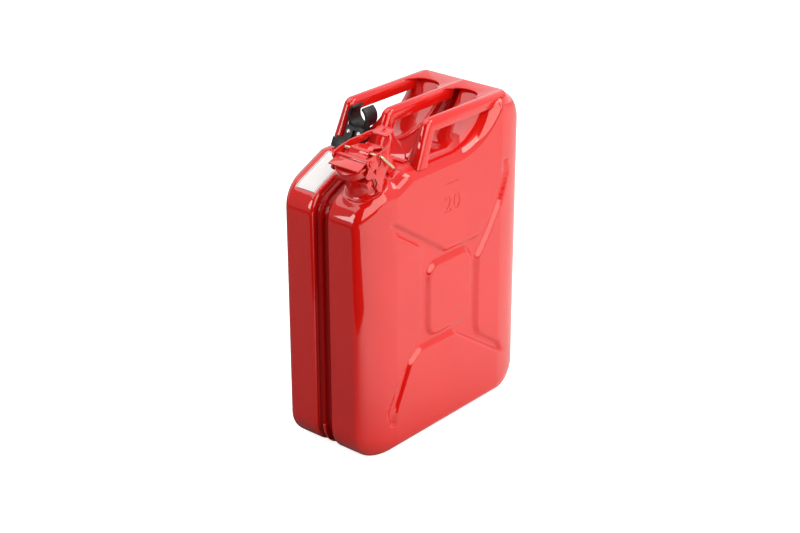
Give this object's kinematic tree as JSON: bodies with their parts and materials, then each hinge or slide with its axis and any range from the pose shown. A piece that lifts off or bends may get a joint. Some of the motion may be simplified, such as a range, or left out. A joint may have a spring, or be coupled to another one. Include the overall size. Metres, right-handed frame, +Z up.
{
  "type": "fuel can",
  "caption": "Pressed steel fuel can with a triple carrying handle, a cam lever closure with a pull-out safety pin on a slanted neck, and a plastic spout clip.",
  "frame": {"origin": "middle of the base, on the surface that the can stands on", "axes": "+Z up, +X towards the hump at the rear, away from the neck; the neck stands on the -Y side, in front"},
  "size_m": [0.3465, 0.165, 0.466],
  "materials": {
    "red_enamel": "glossy stove enamel",
    "zinc_plate": "bright zinc plate",
    "yellow_zinc": "pale yellow zinc plate",
    "black_plastic": "moulded satin",
    "rubber_seal": "matte"
  },
  "bodies": {
    "tank": {"shell_left": "red_enamel", "shell_right": "red_enamel", "seam_weld": "red_enamel", "handle_frame": "red_enamel", "filler_neck": "red_enamel", "neck_lug_left": "red_enamel", "neck_lug_right": "red_enamel", "breather_tube": "red_enamel", "hinge_bracket": "red_enamel", "hinge_pin": "zinc_plate", "spout_clip": "black_plastic", "clip_screw_left": "zinc_plate", "clip_screw_right": "zinc_plate", "clip_nut_left": "zinc_plate", "clip_nut_right": "zinc_plate"},
    "cap": {"cap_dish": "red_enamel", "cap_gasket": "rubber_seal", "cap_strap": "red_enamel", "lever_pivot_pin": "red_enamel"},
    "lever": {"lever": "red_enamel"},
    "safety_pin": {"safety_pin": "yellow_zinc"}
  },
  "joints": [
    {"name": "cap_hinge", "type": "hinge", "parent": "tank", "child": "cap", "pos_m": [-0.10812, -0.0438, 0.4401], "axis": [0, 1, 0], "range_deg": [0, 75]},
    {"name": "lever_swing", "type": "hinge", "parent": "cap", "child": "lever", "pos_m": [-0.15237, -0.0438, 0.43792], "axis": [0, -1, 0], "range_deg": [0, 38]},
    {"name": "pin_pull", "type": "slide", "parent": "cap", "child": "safety_pin", "axis": [0, -1, 0], "range_m": [0, 0.068]}
  ]
}
